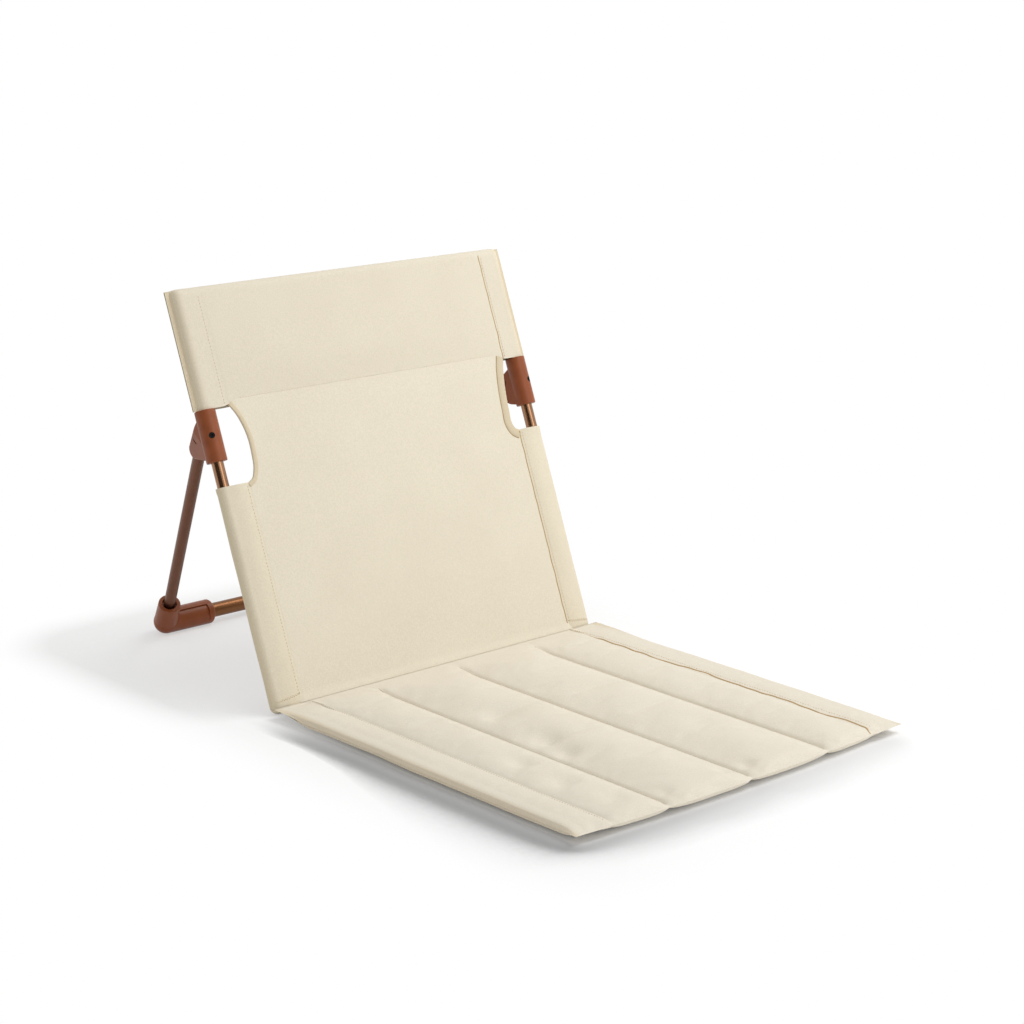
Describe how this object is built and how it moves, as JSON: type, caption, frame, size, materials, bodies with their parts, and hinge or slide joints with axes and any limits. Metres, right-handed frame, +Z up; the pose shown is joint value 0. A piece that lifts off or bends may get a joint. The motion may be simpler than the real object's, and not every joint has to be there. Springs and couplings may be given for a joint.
{
  "type": "folding camping chair",
  "caption": "Legless ground chair: a tube back frame in a sewn cloth cover, a hinged rear prop leg and a padded seat mat that folds up against the back.",
  "frame": {"origin": "centre of the footprint box, on the floor", "axes": "+Z up, -Y the way the sitter faces, +X to the right in a view of the chair's front"},
  "size_m": [0.4606, 0.7984, 0.427],
  "materials": {
    "cloth": "plain woven cream canvas",
    "binding": "woven tape, a little darker than the cloth",
    "base_cloth": "plain woven canvas, underside",
    "foam": "soft padding, covered",
    "tube": "glossy bronze brown",
    "connector": "satin reddish brown moulding",
    "plug": "plain moulding, covered",
    "screw": "black",
    "pin": "turned"
  },
  "bodies": {
    "back_frame": {"back_panel": "cloth", "bottom_corner_plug_left": "plug", "bottom_corner_plug_right": "plug", "bottom_cross_tube": "tube", "bottom_sleeve": "cloth", "cutout_binding_left": "binding", "cutout_binding_right": "binding", "fold_seam": "binding", "headrest_hood": "cloth", "hinge_hub_left": "connector", "hinge_hub_right": "connector", "hinge_pin_left": "pin", "hinge_pin_right": "pin", "hub_screws": "screw", "lower_sleeve_left": "cloth", "lower_sleeve_right": "cloth", "top_corner_plug_left": "plug", "top_corner_plug_right": "plug", "top_cross_tube": "tube", "upper_sleeve_left": "cloth", "upper_sleeve_right": "cloth", "upright_tube_left": "tube", "upright_tube_right": "tube"},
    "rear_leg": {"foot_elbow_left": "connector", "foot_elbow_right": "connector", "leg_plug_left": "plug", "leg_plug_right": "plug", "leg_screws": "screw", "leg_tube_left": "tube", "leg_tube_right": "tube", "rear_cross_tube": "tube"},
    "seat": {"seat_base_sheet": "base_cloth", "seat_cover": "cloth", "seat_foam_inner_left": "foam", "seat_foam_inner_right": "foam", "seat_foam_outer_left": "foam", "seat_foam_outer_right": "foam"}
  },
  "joints": [
    {"name": "seat_fold", "type": "hinge", "parent": "back_frame", "child": "seat", "pos_m": [0, 0.06284, 0.01], "axis": [-1, 0, 0], "range_deg": [0, 105]},
    {"name": "leg_fold", "type": "hinge", "parent": "back_frame", "child": "rear_leg", "pos_m": [0, 0.19757, 0.27482], "axis": [-1, 0, 0], "range_deg": [0, 56]}
  ]
}
